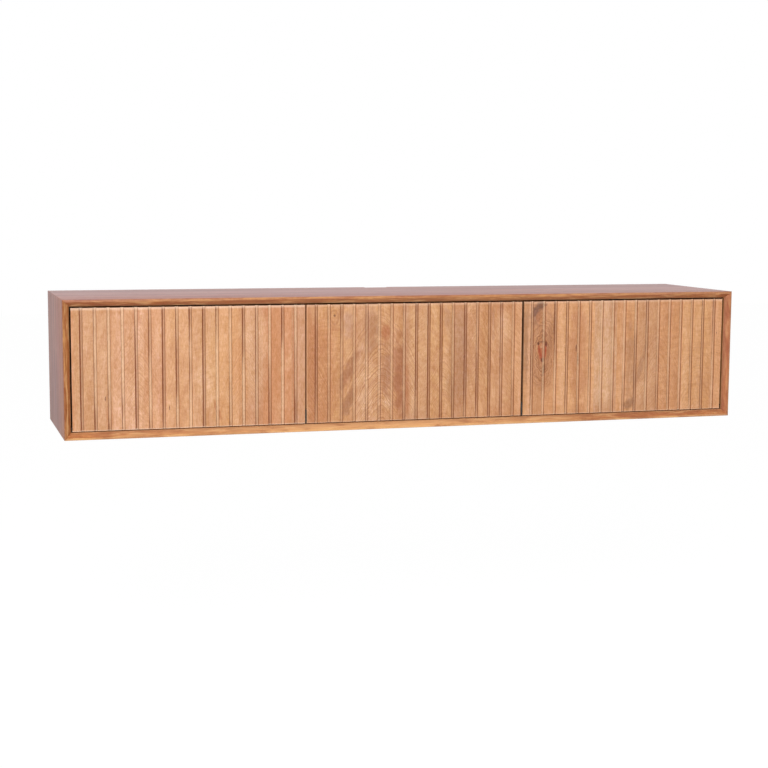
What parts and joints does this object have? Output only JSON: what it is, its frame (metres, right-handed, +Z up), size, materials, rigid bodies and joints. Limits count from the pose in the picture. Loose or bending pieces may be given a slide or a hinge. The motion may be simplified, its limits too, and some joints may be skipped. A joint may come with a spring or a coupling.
{
  "type": "floating media console",
  "caption": "Low wall-hung media console with a mitred, bevelled timber frame and recessed drop-down flaps with upright grooves.",
  "frame": {"origin": "middle of the footprint, level with the underside", "axes": "+X to the right seen from the front, +Y to the wall, +Z up"},
  "size_m": [1.6, 0.35, 0.304],
  "materials": {
    "frame_timber": "oiled, fine grain along each board",
    "flap_timber": "oiled, upright grain, routed grooves",
    "panel_timber": "thin veneered board, oiled",
    "rail_timber": "planed softwood",
    "beech": "turned or planed beech",
    "zinc_screw": "zinc plated",
    "bright_steel": "nickel plated, satin",
    "dark_steel": "black powder coat",
    "brass": "turned",
    "grey_plastic": "moulded, fine matt texture"
  },
  "bodies": {
    "carcass": {"back_panel_screws": "zinc_screw", "bottom_board": "frame_timber", "centre_pivot_bracket_screws": "zinc_screw", "divider_dowels": "beech", "latch_screws": "zinc_screw", "left_back_panel": "panel_timber", "left_centre_pivot_bracket": "dark_steel", "left_divider": "frame_timber", "left_latch_housing": "grey_plastic", "left_side_board": "frame_timber", "left_side_pivot_pin": "bright_steel", "left_stay_wall_bracket": "dark_steel", "left_upper_hanging_rail": "rail_timber", "lower_hanging_rail": "rail_timber", "middle_back_panel": "panel_timber", "middle_latch_housing": "grey_plastic", "middle_stay_wall_bracket": "dark_steel", "mitre_splines": "beech", "rail_dowels": "beech", "right_back_panel": "panel_timber", "right_centre_pivot_bracket": "dark_steel", "right_divider": "frame_timber", "right_latch_housing": "grey_plastic", "right_side_board": "frame_timber", "right_side_pivot_pin": "bright_steel", "right_stay_wall_bracket": "dark_steel", "right_upper_hanging_rail": "rail_timber", "stay_wall_bracket_screws": "zinc_screw", "top_board": "frame_timber"},
    "left_flap": {"left_flap": "flap_timber", "left_flap_bushes": "brass", "left_flap_stay_bracket": "dark_steel", "left_flap_bracket_screws": "zinc_screw", "left_strike_plate": "bright_steel", "left_strike_plate_screws": "zinc_screw"},
    "left_stay_rod": {"left_stay_rod": "bright_steel"},
    "left_stay_housing": {"left_stay_housing": "grey_plastic"},
    "left_latch_plunger": {"left_latch_plunger": "bright_steel"},
    "middle_flap": {"middle_flap": "flap_timber", "middle_flap_bushes": "brass", "middle_flap_stay_bracket": "dark_steel", "middle_flap_bracket_screws": "zinc_screw", "middle_strike_plate": "bright_steel", "middle_strike_plate_screws": "zinc_screw"},
    "middle_stay_rod": {"middle_stay_rod": "bright_steel"},
    "middle_stay_housing": {"middle_stay_housing": "grey_plastic"},
    "middle_latch_plunger": {"middle_latch_plunger": "bright_steel"},
    "right_flap": {"right_flap": "flap_timber", "right_flap_bushes": "brass", "right_flap_stay_bracket": "dark_steel", "right_flap_bracket_screws": "zinc_screw", "right_strike_plate": "bright_steel", "right_strike_plate_screws": "zinc_screw"},
    "right_stay_rod": {"right_stay_rod": "bright_steel"},
    "right_stay_housing": {"right_stay_housing": "grey_plastic"},
    "right_latch_plunger": {"right_latch_plunger": "bright_steel"}
  },
  "joints": [
    {"name": "left_flap_hinge", "type": "hinge", "parent": "carcass", "child": "left_flap", "pos_m": [-0.52267, -0.157, 0.023], "axis": [1, 0, 0], "range_deg": [0, 90]},
    {"name": "left_stay_rod_pivot", "type": "hinge", "parent": "left_flap", "child": "left_stay_rod", "pos_m": [-0.7675, -0.135, 0.17144], "axis": [1, 0, 0], "range_deg": [-45, 0]},
    {"name": "left_stay_housing_pivot", "type": "hinge", "parent": "carcass", "child": "left_stay_housing", "pos_m": [-0.7675, -0.06373, 0.14056], "axis": [1, 0, 0], "range_deg": [0, 45]},
    {"name": "left_latch_plunger_slide", "type": "slide", "parent": "carcass", "child": "left_latch_plunger", "axis": [0, 1, 0], "range_m": [0, 0.003], "stiffness_N_per_m": 200},
    {"name": "middle_flap_hinge", "type": "hinge", "parent": "carcass", "child": "middle_flap", "pos_m": [0, -0.157, 0.023], "axis": [1, 0, 0], "range_deg": [0, 90]},
    {"name": "middle_stay_rod_pivot", "type": "hinge", "parent": "middle_flap", "child": "middle_stay_rod", "pos_m": [-0.23483, -0.135, 0.17144], "axis": [1, 0, 0], "range_deg": [-45, 0]},
    {"name": "middle_stay_housing_pivot", "type": "hinge", "parent": "carcass", "child": "middle_stay_housing", "pos_m": [-0.23483, -0.06373, 0.14056], "axis": [1, 0, 0], "range_deg": [0, 45]},
    {"name": "middle_latch_plunger_slide", "type": "slide", "parent": "carcass", "child": "middle_latch_plunger", "axis": [0, 1, 0], "range_m": [0, 0.003], "stiffness_N_per_m": 200},
    {"name": "right_flap_hinge", "type": "hinge", "parent": "carcass", "child": "right_flap", "pos_m": [0.52267, -0.157, 0.023], "axis": [1, 0, 0], "range_deg": [0, 90]},
    {"name": "right_stay_rod_pivot", "type": "hinge", "parent": "right_flap", "child": "right_stay_rod", "pos_m": [0.7675, -0.135, 0.17144], "axis": [1, 0, 0], "range_deg": [-45, 0]},
    {"name": "right_stay_housing_pivot", "type": "hinge", "parent": "carcass", "child": "right_stay_housing", "pos_m": [0.7675, -0.06373, 0.14056], "axis": [1, 0, 0], "range_deg": [0, 45]},
    {"name": "right_latch_plunger_slide", "type": "slide", "parent": "carcass", "child": "right_latch_plunger", "axis": [0, 1, 0], "range_m": [0, 0.003], "stiffness_N_per_m": 200}
  ],
  "couplings": [
    {"joint": "left_stay_rod_pivot", "follows": "left_flap_hinge", "ratio": -0.5},
    {"joint": "left_stay_housing_pivot", "follows": "left_flap_hinge", "ratio": 0.5},
    {"joint": "middle_stay_rod_pivot", "follows": "middle_flap_hinge", "ratio": -0.5},
    {"joint": "middle_stay_housing_pivot", "follows": "middle_flap_hinge", "ratio": 0.5},
    {"joint": "right_stay_rod_pivot", "follows": "right_flap_hinge", "ratio": -0.5},
    {"joint": "right_stay_housing_pivot", "follows": "right_flap_hinge", "ratio": 0.5}
  ]
}
